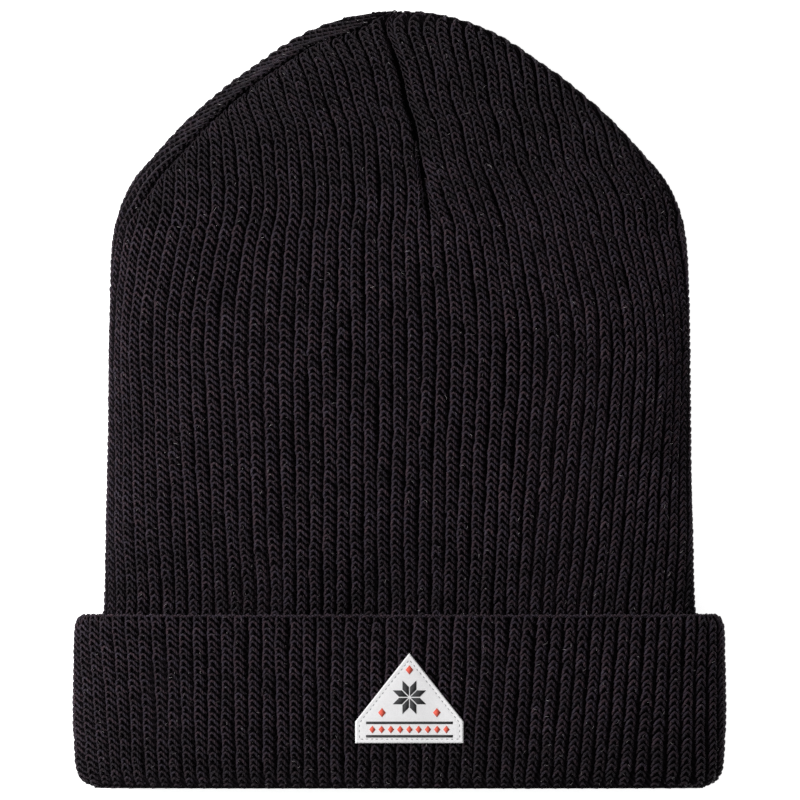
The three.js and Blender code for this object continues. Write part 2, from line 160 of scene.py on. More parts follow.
LABEL_WIDTH = 34.0
LABEL_CENTRE_X = 3.1
LABEL_FOOT = 14.4
LABEL_SIDE = 6.8  # the height of its two short sides
LABEL_HEIGHT = 28.3
LABEL_LIFT = 0.70  # from the cuff's face to the label's, and to the label's underside
LABEL_UNDERSIDE = -0.05
LABEL_ROUNDING = 0.35
SEAM_INSET = 1.3
SEAM_PITCH = 1.6
SEAM_STITCH = 0.75
SEAM_THREAD = 0.13
SEAM_LINE = ((-0.5, -0.12), (-0.3, 0.05), (0.3, 0.05), (0.5, -0.12))  # a stitch's points, as steps and lifts
SEAM_CHANNEL = 0.08
SEAM_CHANNEL_WIDTH = 0.45
WEAVE_PITCH = (0.42, 0.30)  # between the label's threads, in x and y
ORNAMENT_RISE = 0.09
ORNAMENT_FOOT = 0.15
PETAL_SHARE = 0.86  # how much of its eighth of the star a petal fills

# One knitted loop as a tube: across in rib widths, up in courses, and out in millimetres off the cloth.
OPEN_LOOP = columns("across up out radius", [
    (-0.33, -0.85, -1.90, 0.36), (-0.30, -0.42, -1.10, 0.44), (-0.22, 0.10, -0.58, 0.45),
    (-0.02, 0.50, -0.40, 0.43), (0.18, 0.10, -0.58, 0.45), (0.28, -0.38, -1.10, 0.44),
    (0.34, -0.65, -1.70, 0.37), (0.44, -0.50, -2.30, 0.32),
])
LEANING_LOOP = columns("across up out radius", [
    (-0.40, -0.85, -1.30, 0.40), (-0.39, -0.30, -0.74, 0.44), (-0.36, 0.22, -0.46, 0.44),
    (-0.19, 0.50, -0.42, 0.41), (0.02, 0.20, -0.48, 0.46), (0.19, -0.25, -0.78, 0.44),
    (0.33, -0.55, -1.42, 0.38), (0.46, -0.38, -2.20, 0.31),
])
TUBE_SIDES = 4
RIB_WANDER = ((70.0, 0.04), (41.0, 0.025), (23.0, 0.015))  # wavelengths along a rib, heights in rib widths
ROW_SPACING = 0.75  # between the rows of points from which the ribs are read
CROWN_ROWS_START = 51.0  # the crown's loops start a little under the cuff's upper edge
LOOP_REACH = 0.3  # where the cloth is read on each side of a rib's middle, in rib widths
WIDEST_LOOP = 5.2  # the room for a loop across its rib, in millimetres
NARROWEST_RIB = 0.14  # a rib has no loops where it is narrower, in rib widths
FEWEST_ROWS = 4  # or where it is wide enough in fewer rows
EDGE_NARROWING = 1.5  # how strongly a loop narrows where its rib is bent round an edge
RESTING_SHARE = 0.85  # how much of its radius a tube keeps between its middle and the floor
CROWN_FIRST_LOOP = 0.3  # how far a rib's first loop is from its end, in courses
CUFF_FIRST_LOOP = 0.62
# How much loops differ from each other: in place across, up and out, in thickness and in each bend.
LOOP_JITTER = {"across": 0.024, "up": 0.055, "out": 0.06, "size": 0.06, "bend": 0.022}
LEFT_LEAN = 0.15  # how much more the loops at the cap's left edge lean than the others
LEFT_EDGE = (-75.0, -45.0)
UPRIGHT_SHARE = 0.9  # how much less they lean where they are upright
CROWN_UPRIGHT = (22.0, 58.0)  # from x to x, and up to a place along the crown
CROWN_UPRIGHT_END = (125.0, 165.0)
CUFF_UPRIGHT = (20.0, 60.0)
CROWN_FOOT_LEAN = 0.25  # the share of their lean next to the cuff
CROWN_FOOT_REACH = (56.0, 78.0)
FOLD_LEAN = (0.6, 0.3)  # the share next to the fold, for leaning and for upright loops
FOLD_REACH = (2.0, 16.0)
THINNEST_YARN = 0.6  # in the narrowest ribs, as a share of its full thickness
RIM_FLATNESS = 0.7  # how much of a loop's height and of its unevenness is left at the cap's outline
RIM_JITTER = 0.5
CROWN_RIM_LIFT = 0.34  # how far the loops stand out further at the crown's outline
CUFF_RIM_LIFT = 0.12
GROUND_RIM_LIFT = 0.36  # the same for the crown's cloth behind them
# Painted shade: how much darker the yarn's colour is made, as a share of its range, on the crown next to the
# cuff and towards its tip, and on the cuff towards its fold.
CROWN_PAINTED_SHADE = columns("along darker", [
    (50, 0.34), (66, 0.26), (92, 0), (165, 0), (200, 0.42), (244, 0.55),
])
CUFF_PAINTED_SHADE = columns("along darker", [
    (0, 0.62), (10, 0.40), (24, 0.12), (54.7, 0.05),
])
# A link of the chain along the cuff's upper edge: its points across, up and under the cuff's face.
EDGE_LINK = columns("shift rise sink", [
    (-0.20, -0.75, 1.15), (-0.07, -0.33, 0.80), (0.07, -0.39, 0.75), (0.20, -0.81, 1.10),
])
EDGE_RADIUS = 0.32
EDGE_WAVE = 0.18  # how far the chain rises over the grooves and drops over the ribs
EDGE_JITTER = {"sink": 0.05, "rise": 0.09, "size": 0.06}
LINKS_PER_RIB = 4
SHADE_SPREAD = 0.19  # how much the yarn's shade differs from loop to loop
# Loose fibres: how many there are for each loop, how level the cloth is where they lie, where they lie
# across, up and out from the loop's middle, half their length, and how far they bend aside and rise.
# Each point of a fibre has shares of its half length, of its bend and of its lift, a depth and a radius.
LINT_SHARE = 0.3
LINT_FACING = 0.6
LINT_ROOM = ((-0.32, 0.32), (-1, 1), (-0.15, 0.1))
LINT_REACH = (0.25, 0.8)
LINT_BEND = (-0.3, 0.3)
LINT_LIFT = (0.05, 0.25)
LINT_LINE = ((-1, 0, 0, 0.15), (-0.35, 0.8, 1, 0), (0.35, 0.9, 1, 0), (1, 0, 0, 0.1))
LINT_RADII = np.array([0.035, 0.05, 0.045, 0.03])
LINT_SIZES = (0.7, 1.2)

# Where a tube's unrolled wall and its two round ends lie in its cell of the map, as shares of the cell.
MAP_CELL = {"inset": 0.04, "long": 0.78, "round": 0.9, "end": 0.05, "foot": (0.92, 0.2), "head": (0.92, 0.6)}

# The cloth behind the loops: how far it lies under its face, and where it comes nearer to the loops.
RIB_CREST_DEPTH = 1.7
RIB_GROOVE_DEPTH = 2.5
POINTS_PER_RIB = 4
GROUND_STEP = 2.4
GROUND_FULL_THICKNESS = 9.0
GROUND_RIBS_END = 46.0  # below it the crown's cloth is plain, because the cuff covers it
GROUND_TIP = (235.0, 242.0)  # where it comes nearer to the loops at the tip
CROWN_EDGE_SHALLOW = 0.82  # shares by which the ribs' relief is shallower
CROWN_TIP_SHALLOW = 0.6
CUFF_EDGE_SHALLOW = 0.74
CUFF_FOLD_SHALLOW = 0.95
CUFF_TOP_SHALLOW = 0.75
INNER_RELIEF = 0.8

random = np.random.default_rng(20)


def mix(a, b, share):
    return a + (b - a) * share


def joined(parts):
    """The arrays of several parts, end to end."""
    return [np.concatenate(arrays) for arrays in zip(*parts)]


def quads(*corners):
    """Faces from the arrays of their four corners' numbers."""
    return np.stack(np.broadcast_arrays(*corners), -1).reshape(-1, 4)


def norms(v):
    return np.linalg.norm(v, axis=-1, keepdims=True)


def unit(v):
    return v / np.maximum(norms(v), 1e-12)


def smooth(value, low, high):
    t = np.clip((value - low) / (high - low), 0, 1)
    return t * t * (3 - 2 * t)


def curve(table, column, where):
    """A smooth curve through a table's rows that doesn't overshoot them. It runs over the first column."""
    xs, ys = next(iter(table.values())), table[column]
    slope = np.diff(ys) / np.diff(xs)
    before, after = slope[:-1], slope[1:]
    steady = before * after > 0
    tangent = np.concatenate([slope[:1], np.zeros(len(before)), slope[-1:]])
    tangent[1:-1][steady] = (2 * before * after)[steady] / (before + after)[steady]
    i = np.clip(np.searchsorted(xs, where, side="right") - 1, 0, len(xs) - 2)
    span = xs[i + 1] - xs[i]
    t = np.clip((where - xs[i]) / span, 0, 1)
    return (
        (2 * t**3 - 3 * t**2 + 1) * ys[i]
        + (t**3 - 2 * t**2 + t) * span * tangent[i]
        + (3 * t**2 - 2 * t**3) * ys[i + 1]
        + (t**3 - t**2) * span * tangent[i + 1]
    )


def crown_size(along):
    """Half width, top and bottom of the crown's outer face."""
    along = np.minimum(along, CAP_LENGTH)
    left = CAP_LENGTH - along
    length = CAP_LENGTH - TIP_START
    roundness = np.sqrt(np.clip(1 - (1 - left / length) ** 2, 0, 1))
    falling = CROWN_SECTIONS["top"][-1] - TIP_TOP_SLOPE * (length - left)
    tip = {
        "half": np.sqrt(np.clip(2 * TIP_RADIUS * left - left**2, 0, None)),
        "top": mix(TIP_HEIGHT, falling, roundness),
        "bottom": TIP_HEIGHT * (1 - roundness),
    }
    return {c: np.where(along > TIP_START, tip[c], curve(CROWN_SECTIONS, c, along)) for c in tip}


def crown_inner_size(along):
    """The same for its inner face, a wall's thickness inside."""
    outer = crown_size(along)
    step = 0.5
    slope = (crown_size(along + step)["half"] - crown_size(along - step)["half"]) / (2 * step)
    return {
        "half": outer["half"] - WALL * np.hypot(1, slope),
        "top": outer["top"] - WALL,
        "bottom": outer["bottom"] + WALL,
    }


def cuff_size(along, depth):
    """A section of the cuff: depth 0 is its outer face, and depth 1 the inner face of the cap."""
    inner = crown_inner_size(np.maximum(along, CROWN_FOOT))
    outer = {"half": curve(CUFF_SECTIONS, "half", along), "top": curve(CUFF_SECTIONS, "top", along)}
    size = {c: mix(outer.get(c, 0.0), inner[c], depth) for c in inner}
    size["rounded_off"] = (CUFF_SECTIONS["half"].max() - size["half"]) * (1 - smooth(depth, 0.5, 1))
    return size


class Sections:
    """Flattened sections, each a closed path from the left edge over the top to the right edge and back."""
    UPPER_POWER = 2.3
    LOWER_POWER = 3.5
    PRESSED = 1.05
    STEPS = 360

    def __init__(self, along, size):
        angle = math.pi - TURN * np.arange(self.STEPS + 1) / self.STEPS
        c, s = np.cos(angle), np.sin(angle)
        upper = s >= 0
        power = np.where(upper, self.UPPER_POWER, self.LOWER_POWER)
        half, top, bottom = (size[name][:, None] for name in ("half", "top", "bottom"))
        middle = mix(bottom, top, FULLEST_SHARE)
        height = np.where(upper, top - middle, (middle - bottom) * self.PRESSED)
        self.along = along
        self.size = size
        self.x = half * np.sign(c) * np.abs(c) ** (2 / power)
        self.z = np.maximum(middle + height * np.sign(s) * np.abs(s) ** (2 / power), bottom)
        steps = np.hypot(np.diff(self.x), np.diff(self.z))
        self.at = np.concatenate([np.zeros((len(along), 1)), np.cumsum(steps, axis=1)], axis=1)
        self.total = self.at[:, -1]
        self.right_edge = self.at[:, self.STEPS // 2]

    def arc_at_x(self, x, upper):
        """The arc length where the upper or the lower face passes x, a value for each section."""
        part = slice(0, self.STEPS // 2 + 1) if upper else slice(self.STEPS // 2, None)
        order = 1 if upper else -1
        rows = zip(x, self.x[:, part], self.at[:, part])
        return np.array([np.interp(v, xs[::order], at[::order]) for v, xs, at in rows])

    def points(self, arc):
        """Positions and outward directions at an array of arc lengths, a row for each section."""
        reach = 0.8  # on each side, for the direction

        def read(values, at):
            rows = zip(np.mod(at, self.total[:, None]), self.at, values)
            return np.stack([np.interp(a, ats, v) for a, ats, v in rows])

        x, z = read(self.x, arc), read(self.z, arc)
        dx = read(self.x, arc + reach) - read(self.x, arc - reach)
        dz = read(self.z, arc + reach) - read(self.z, arc - reach)
        y = np.broadcast_to(self.along[:, None] - CAP_LENGTH / 2, x.shape)
        return np.stack([x, y, z], -1), unit(np.stack([-dz, np.zeros_like(x), dx], -1))


def clear_of_floor(z):
    """0 where the cloth is pressed on the floor, 1 above it."""
    return smooth(z, *FLOOR_REACH)


def clear_of_tip(along):
    """0 at the crown's tip, where the cloth is even, and 1 away from it."""
    return smooth(CAP_LENGTH - along, *EVEN_TIP)


def unevenness(x, along, out):
    """How far the cloth lies under its even face, in waves and creases that fade where it isn't on top."""
    dip = sum(
        height * (1 + np.sin(TURN * (x / x_length + along / y_length) + phase))
        for x_length, y_length, phase, height in zip(*WAVES.values())
    )
    for cx, cy, turn, length, width, depth in zip(*CREASES.values()):
        c, s = math.cos(math.radians(turn)), math.sin(math.radians(turn))
        run = (x - cx) * c + (along - cy) * s
        side = (along - cy) * c - (x - cx) * s
        dip = dip + depth * np.exp(-((run / length) ** 2) - (side / width) ** 2)
    facing = out[..., 2]
    more = np.where(facing > 0, 1 - EDGE_UNEVENNESS, -UNDERSIDE_UNEVENNESS)
    return dip * (EDGE_UNEVENNESS + more * facing)


class Crown:
    """The crown's outer face: rows of sections, with the runs of ribs between the darts."""

    def __init__(self, along):
        self.sections = Sections(along, crown_size(along))
        self.starts, self.ends = self.spans(self.sections)
        foot = np.array([FRONT_DART_START])
        foot_starts, foot_ends = self.spans(Sections(foot, crown_size(foot)))
        spread = np.stack([curve(RIB_SPREAD, face, along) for face in PANEL_FACES], 1)
        kept = np.clip((self.ends - self.starts) / (foot_ends - foot_starts) / spread, 0, 1)
        counts = np.array(list(PANELS.values()), float)
        above = np.maximum(along[:, None] - FRONT_DART_START, 0)
        pinched = PINCHED_RIBS * (1 - np.exp(-above / PINCH_LENGTH))
        lost = np.maximum(np.where(above > 0, counts * (1 - kept), 0), pinched)
        self.foot_first = np.concatenate([[0], np.cumsum(counts)[:-1]])
        self.first = self.foot_first + np.where(STARTS_AT_SIDE, lost - pinched, pinched)
        self.last = self.foot_first + counts - np.where(STARTS_AT_SIDE, pinched, lost - pinched)

    @staticmethod
    def spans(sections):
        """The arc lengths where each panel starts and ends, with a column for each panel."""
        along, half = sections.along, sections.size["half"]
        inset = np.minimum(curve(SIDE_DART, "inset", along), SIDE_DART_TIP_SHARE * half)
        front_x = np.maximum(curve(FRONT_DART, "x", along), -DART_TIP_SHARE * half)
        starts = np.stack([
            sections.arc_at_x(inset - half, True),
            sections.arc_at_x(front_x, True),
            sections.arc_at_x(half - inset, False),
            sections.arc_at_x(-front_x, False),
        ], 1)
        ends = np.concatenate([starts[:, 1:], starts[:, :1] + sections.total[:, None]], 1)
        return starts, ends

    def arcs(self, panel, keys):
        """Arc lengths of the rib keys in every row."""
        start, end = self.starts[:, panel, None], self.ends[:, panel, None]
        first, last = self.first[:, panel, None], self.last[:, panel, None]
        drift = curve(CROWN_DRIFT, "shift", keys)
        drift = drift * curve(CROWN_DRIFT_SHARE, "share", self.sections.along)[:, None]
        share = (keys - first) / np.maximum(last - first, 1e-6)
        if STARTS_AT_SIDE[panel]:
            share = share * (1 - LEFT_CROWDING * np.exp(-np.clip(share, 0, 1) / CROWN_CROWDING_REACH))
        return mix(start, end, share) + drift

    def sunk(self, arc):
        """How far the cloth dips into the darts near an arc length."""
        along = self.sections.along[:, None]
        total = self.sections.total[:, None]
        dip = np.zeros_like(arc)
        for i in range(len(PANELS)):
            at_side = STARTS_AT_SIDE[i]
            foot = SIDE_DART_START if at_side else FRONT_DART_START
            deepest = SIDE_DART_DEPTH if at_side else FRONT_DART_DEPTH
            gap = np.mod(np.abs(arc - self.starts[:, i, None]), total)
            distance = np.minimum(gap, total - gap)
            depth = deepest * smooth(along - foot, *DART_LEAD)
            if not at_side:
                depth = depth + PUCKER_DEPTH * np.exp(-(((along - foot - PUCKER_ABOVE) / PUCKER_REACH) ** 2))
            dip = np.maximum(dip, depth * np.exp(-((distance / DART_SPREAD) ** 2)))
        thickness = self.sections.size["top"] - self.sections.size["bottom"]
        return dip * np.clip(thickness / DART_FULL_THICKNESS, 0, 1)[:, None]

    def place(self, arc, inward=0.0):
        """Points at arc lengths, lowered by the darts, the unevenness and inward."""
        points, out = self.sections.points(arc)
        free = clear_of_floor(points[..., 2])
        along = self.sections.along[:, None]
        uneven = unevenness(points[..., 0], along, out) * clear_of_tip(along)
        return points - out * ((self.sunk(arc) + uneven) * free + inward)[..., None]


class Cuff:
    """The cuff's face, from the inside of the cap round the fold and up the outer layer."""
    FOLD_STEPS = 24

    def __init__(self, spacing):
        turn = np.linspace(math.pi, 0, self.FOLD_STEPS + 1)[:-1]
        rise = np.append(np.arange(FOLD_DEPTH, CUFF_HEIGHT - spacing, spacing), CUFF_HEIGHT)
        self.along = np.concatenate([FOLD_DEPTH * (1 - np.sin(turn)), rise])
        self.depth = np.concatenate([(1 - np.cos(turn)) / 2, np.zeros(len(rise))])
        self.sections = Sections(self.along, cuff_size(self.along, self.depth))

    def place(self, arc):
        """Points at arc lengths, lowered by the unevenness."""
        points, out = self.sections.points(arc)
        free = clear_of_floor(points[..., 2])
        uneven = cuff_unevenness(points, self.along[:, None], out)
        points = points - out * (uneven * free)[..., None]
        points[..., 1] += FOLD_SINK * (1 - smooth(self.along, 0, FOLD_SINK_REACH))[:, None]
        return points


def cuff_unevenness(points, along, out):
    """The cuff's own waves and creases, which fade towards the fold."""
    x_shift, along_shift = CUFF_WAVE_SHIFT
    dip = unevenness(points[..., 0] + x_shift, along + along_shift, out)
    return dip * smooth(along, *EVEN_FOLD) * CUFF_UNEVENNESS


def cuff_arcs(sections, keys):
    """Arc lengths of rib keys: an even share in front, the rest round the back, and then their drift.

    Ribs crowd together at the cuff's upper corners, and pass onto the back at its lower corners.
    """
    in_front = keys <= FRONT_RIBS
    front = keys / FRONT_RIBS
    behind = (keys - FRONT_RIBS) / (RIBS_AROUND - FRONT_RIBS)
    right, total = sections.right_edge[:, None], sections.total[:, None]
    narrower = front * (1 - LEFT_CROWDING * np.exp(-np.clip(front, 0, 1) / CUFF_CROWDING_REACH))
    even = np.where(in_front, narrower * right, mix(right, total, behind))
    share = np.where(in_front, front, behind)
    near_start, near_end = share / CORNER_CROWDING, (1 - share) / CORNER_CROWDING
    crowding = np.exp(-(near_start**2)) - np.exp(-(near_end**2))
    shift = 2 * share - 1
    cut_off = 1 - smooth(sections.along, *CUFF_WRAP)[:, None]
    onto_back = cut_off * np.where(in_front, shift, -shift)
    crowded = sections.size["rounded_off"][:, None] * ((1 - cut_off) * (crowding + shift) + onto_back)
    low = np.clip(1 - sections.along / CUFF_HEIGHT, 0, 1)[:, None]
    drift = curve(CUFF_DRIFT, "low", keys) * low + curve(CUFF_DRIFT, "lowest", keys) * low**2
    return even + crowded + drift


def loop_places(left, middle, right, along, width, last_step):
    """Steps down one rib from its end: where each loop sits, its vectors, and how wide its rib is."""
    at = np.concatenate([[0], np.cumsum(norms(np.diff(middle, axis=0)))])
    count = max(int(at[-1] / COURSE - last_step), 0)
    steps = at[-1] - (last_step + np.arange(count)) * COURSE

    def read(values, where):
        return np.stack([np.interp(where, at, values[:, k]) for k in range(3)], 1)

    reach = COURSE * 0.6
    across = read(right - left, steps) / (2 * LOOP_REACH)
    across *= np.minimum(1, WIDEST_LOOP / np.maximum(norms(across), 1e-6))
    round_edge = norms(left - middle) + norms(right - middle)
    straight = norms(right - left) / np.maximum(round_edge, 1e-6)
    across *= np.interp(steps, at, straight[:, 0])[:, None] ** EDGE_NARROWING
    up = unit(read(middle, np.minimum(steps + reach, at[-1])) - read(middle, np.maximum(steps - reach, 0)))
    out = unit(np.cross(across, up))
    return read(middle, steps), across, up, out, np.interp(steps, at, along), np.interp(steps, at, width)


def rib_wander(keys, along):
    """A slight wandering of each rib to its sides, in rib widths."""
    phases = random.uniform(0, TURN, (len(RIB_WANDER), len(keys)))
    turn = TURN * along[:, None]
    return sum(height * np.sin(turn / length + phase) for (length, height), phase in zip(RIB_WANDER, phases))


def rib_loops(place, along, width, last_step):
    """The loops of several ribs, joined into arrays. place gives points at a shift from the ribs' middle."""
    ribs = np.stack([place(-LOOP_REACH), place(0), place(LOOP_REACH)])
    found = []
    for i in range(width.shape[1]):
        rows = np.flatnonzero(width[:, i] > NARROWEST_RIB)
        if len(rows) >= FEWEST_ROWS:
            found.append(loop_places(*ribs[:, rows, i], along[rows], width[rows, i], last_step))
    return joined(found)


def crown_loops(crown, panel):
    """The loops of a panel's ribs. A rib narrows where it runs into a dart."""
    keys = crown.foot_first[panel] + np.arange(list(PANELS.values())[panel]) + 0.5
    along = crown.sections.along
    wander = rib_wander(keys, along)
    first, last = crown.first[:, panel, None], crown.last[:, panel, None]
    low = np.clip(keys - 0.5 + wander, first, last)
    high = np.clip(keys + 0.5 + wander, first, last)

    def place(shift):
        return crown.place(crown.arcs(panel, (low + high) / 2 + shift * (high - low)))

    return rib_loops(place, along, high - low, CROWN_FIRST_LOOP)


def cuff_loops(cuff, keys):
    """The loops of some of the cuff's ribs, from the cuff's upper edge down and round the fold."""
    wander = rib_wander(keys, cuff.along + WANDER_DEPTH * cuff.depth)

    def place(shift):
        return cuff.place(cuff_arcs(cuff.sections, np.mod(keys + wander + shift, RIBS_AROUND)))

    return rib_loops(place, cuff.along, np.ones_like(wander), CUFF_FIRST_LOOP)


def tubes(lines, radii, out):
    """Closed tubes round lines of points: lines is tubes x rings x 3, and radii is tubes x rings."""
    count, rings = radii.shape
    steps = np.diff(lines, axis=1)
    ahead = unit(np.concatenate([steps[:, :1], steps[:, 1:] + steps[:, :-1], steps[:, -1:]], 1))
    side = unit(np.cross(ahead, out[:, None, :]))
    over = np.cross(side, ahead)
    turn = TURN * np.arange(TUBE_SIDES) / TUBE_SIDES
    ring = np.cos(turn)[:, None] * side[:, :, None, :] + np.sin(turn)[:, None] * over[:, :, None, :]
    points = lines[:, :, None, :] + ring * radii[:, :, None, None]
    number = np.arange(count * rings * TUBE_SIDES).reshape(count, rings, TUBE_SIDES)
    beside = np.roll(number, -1, axis=2)
    walls = quads(number[:, :-1], beside[:, :-1], beside[:, 1:], number[:, 1:])
    return points.reshape(-1, 3), [walls, number[:, 0, ::-1], number[:, -1]]


def tube_maps(count, rings, lengths):
    """Two maps of the tubes' faces: the place in a grid, where each has a cell, and on the strand."""
    grid = math.ceil(math.sqrt(count))
    cell = np.arange(count)
    corner = np.stack([cell % grid, cell // grid], 1) / grid
    ring, side = np.arange(rings - 1), np.arange(TUBE_SIDES)
    u = np.stack([ring, ring, ring + 1, ring + 1], 1) / (rings - 1)
    v = np.stack([side, side + 1, side + 1, side], 1) / TUBE_SIDES
    u, v = np.broadcast_arrays(u[:, None], v[None])
    walls = np.stack([u * MAP_CELL["long"], v * MAP_CELL["round"]], -1) + MAP_CELL["inset"]
    turn = TURN * side / TUBE_SIDES
    end = np.stack([np.cos(turn), np.sin(turn)], 1) * MAP_CELL["end"]
    cells = [
        corner[:, None, None, None, :] + walls[None] / grid,
        corner[:, None, :] + (np.array(MAP_CELL["foot"]) + end[None, ::-1]) / grid,
        corner[:, None, :] + (np.array(MAP_CELL["head"]) + end[None]) / grid,
    ]
    along = u[None] * lengths[:, None, None, None]
    strands = np.stack([along, np.broadcast_to(v, (count, *v.shape))], -1)
    ends = np.zeros((2 * count * TUBE_SIDES, 2))
    return np.concatenate([c.reshape(-1, 2) for c in cells]), np.concatenate([strands.reshape(-1, 2), ends])


def add_object(name, data):
    """A new object in the scene."""
    added = bpy.data.objects.new(name, data)
    bpy.context.scene.collection.objects.link(added)
    return added


def make_piece(name, points, faces, material, maps=(), shade=None):
    """A mesh object from points in millimetres and arrays of faces. It rides on the cap's one body."""
    mesh = bpy.data.meshes.new(name)
    mesh.vertices.add(len(points))
    mesh.vertices.foreach_set("co", (points * MM).ravel())
    corners = np.concatenate([f.ravel() for f in faces])
    sizes = np.concatenate([np.full(len(f), f.shape[1]) for f in faces])
    mesh.loops.add(len(corners))
    mesh.loops.foreach_set("vertex_index", corners.astype(np.int32))
    mesh.polygons.add(len(sizes))
    mesh.polygons.foreach_set("loop_start", (np.cumsum(sizes) - sizes).astype(np.int32))
    mesh.update(calc_edges=True)
    mesh.polygons.foreach_set("use_smooth", np.ones(len(sizes), bool))
    for map_name, uv in maps:
        mesh.uv_layers.new(name=map_name).data.foreach_set("uv", uv.astype(np.float32).ravel())
    if shade is not None:
        stored = mesh.attributes.new("shade", "FLOAT", "POINT")
        stored.data.foreach_set("value", shade.astype(np.float32))
    mesh.materials.append(material)
    piece = add_object(name, mesh)
    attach(piece, "root")
    return piece


def make_loops(name, loops, material, slot, lean, lift, darker):
    """A piece of knitted loops. lean has a value for each loop, 0 for an upright and 1 for a leaning one."""
    where, across, up, out, along, rib_width = loops
    count = len(where)
    shape = {c: mix(OPEN_LOOP[c], LEANING_LOOP[c], lean[:, None]) for c in OPEN_LOOP}
    jitter = {c: random.normal(0, LOOP_JITTER[c], (count, 1)) for c in ("across", "up", "out", "size")}
    bend = random.normal(0, LOOP_JITTER["bend"], (count, shape["across"].shape[1]))
    x = shape["across"] + jitter["across"] + bend
    y = (shape["up"] + jitter["up"]) * COURSE
    rim = 1 - np.abs(out[:, 2:])
    z = shape["out"] * mix(1, RIM_FLATNESS, rim) + jitter["out"] * mix(1, RIM_JITTER, rim) + lift * rim
    lines = where[:, None, :] + sum(
        step[..., None] * way[:, None, :] for step, way in ((x, across), (y, up), (z, out))
    )
    radii = shape["radius"] * (1 + jitter["size"]) * np.clip(rib_width, THINNEST_YARN, 1)[:, None]
    lines[..., 2] = np.maximum(lines[..., 2], radii * RESTING_SHARE)
    lines[..., 1] = np.maximum(lines[..., 1], radii * RESTING_SHARE - CAP_LENGTH / 2)
    # The yarn's colour is made darker by place along the cap: painted shade.
    make_tubes(name, lines, radii, out, material, curve(darker, "darker", along))


def make_tubes(name, lines, radii, out, material, darker=0.0):
    """A piece of separate tubes, each with a shade of its own that differs at random, less the painted shade
    where one is given.
    """
    points, faces = tubes(lines, radii, out)
    count, rings = radii.shape
    cells, strands = tube_maps(count, rings, norms(np.diff(lines, axis=1)).sum((1, 2)))
    maps = (("OFBake", cells), ("strand", strands))
    shade = np.clip(random.normal(0.5, SHADE_SPREAD, count) - darker, 0, 1)
    return make_piece(name, points, faces, material, maps, np.repeat(shade, rings * TUBE_SIDES))


def make_lint(name, loops, material):
    """Short loose fibres that lie on some of the loops, away from the cap's outline."""
    level = np.abs(loops[3][:, 2]) > LINT_FACING
    chosen = (random.random(len(level)) < LINT_SHARE) & level
    where, across, up, out = (values[chosen] for values in loops[:4])

    def draw(low, high):
        return random.uniform(low, high, (len(where), 1))

    turn = draw(0, TURN)
    run = np.cos(turn) * unit(across) + np.sin(turn) * up
    aside = np.cross(out, run)
    middle = sum((way * draw(*room) for way, room in zip((across, up, out), LINT_ROOM)), where)
    reach, bend, lift = draw(*LINT_REACH), draw(*LINT_BEND), draw(*LINT_LIFT)
    lines = np.stack([
        middle + run * reach * ahead + aside * bend * turned + out * (lift * raised - sunk)
        for ahead, turned, raised, sunk in LINT_LINE
    ], 1)
    radii = LINT_RADII * draw(*LINT_SIZES)
    lines[..., 2] = np.maximum(lines[..., 2], radii)
    make_tubes(name, lines, radii, out, material)


def set_inputs(tree, node, inputs):
    """Gives each named input of a node a value or another node's output."""
    for name, value in inputs.items():
        if isinstance(value, bpy.types.NodeSocket):
            tree.links.new(value, node.inputs[name])
        else:
            node.inputs[name].default_value = value


def add_node(tree, kind, inputs=None, **settings):
    node = tree.nodes.new(kind)
    for name, value in settings.items():
        setattr(node, name, value)
    set_inputs(tree, node, inputs or {})
    return node


def value_node(tree, operation, *values):
    """A Math node's result. Its inputs are numbers or other nodes' outputs."""
    return add_node(tree, "ShaderNodeMath", dict(enumerate(values)), operation=operation).outputs[0]


def principled(name, roughness, specular, **inputs):
    """A new material, its node tree and its shader."""
    material = bpy.data.materials.new(name)
    material.use_nodes = True
    tree = material.node_tree
    shader = tree.nodes["Principled BSDF"]
    set_inputs(tree, shader, {"Roughness": roughness, "Specular IOR Level": specular, **inputs})
    return material, tree, shader


def colour_ramp(tree, factor, stops):
    """A colour for each value of factor, from stops of a position and a colour."""
    ramp = add_node(tree, "ShaderNodeValToRGB", {"Fac": factor})
    while len(ramp.color_ramp.elements) < len(stops):
        ramp.color_ramp.elements.new(0.5)
    for element, (position, colour) in zip(ramp.color_ramp.elements, stops):
        element.position = position
        element.color = (*colour, 1)
    return ramp.outputs["Color"]


def object_place(tree):
    return tree.nodes.new("ShaderNodeTexCoord").outputs["Object"]


def noise(tree, scale, detail=2.0):
    inputs = {"Scale": scale, "Detail": detail, "Vector": object_place(tree)}
    return add_node(tree, "ShaderNodeTexNoise", inputs).outputs["Fac"]


def bump(tree, height, distance, strength):
    inputs = {"Height": height, "Distance": distance * MM, "Strength": strength}
    return add_node(tree, "ShaderNodeBump", inputs).outputs["Normal"]


def axes(tree, vector):
    split = add_node(tree, "ShaderNodeSeparateXYZ", {"Vector": vector})
    return split.outputs["X"], split.outputs["Y"]


def map_axes(tree, name):
    return axes(tree, add_node(tree, "ShaderNodeUVMap", uv_map=name).outputs["UV"])


def shade_value(tree):
    return add_node(tree, "ShaderNodeAttribute", attribute_name="shade").outputs["Fac"]


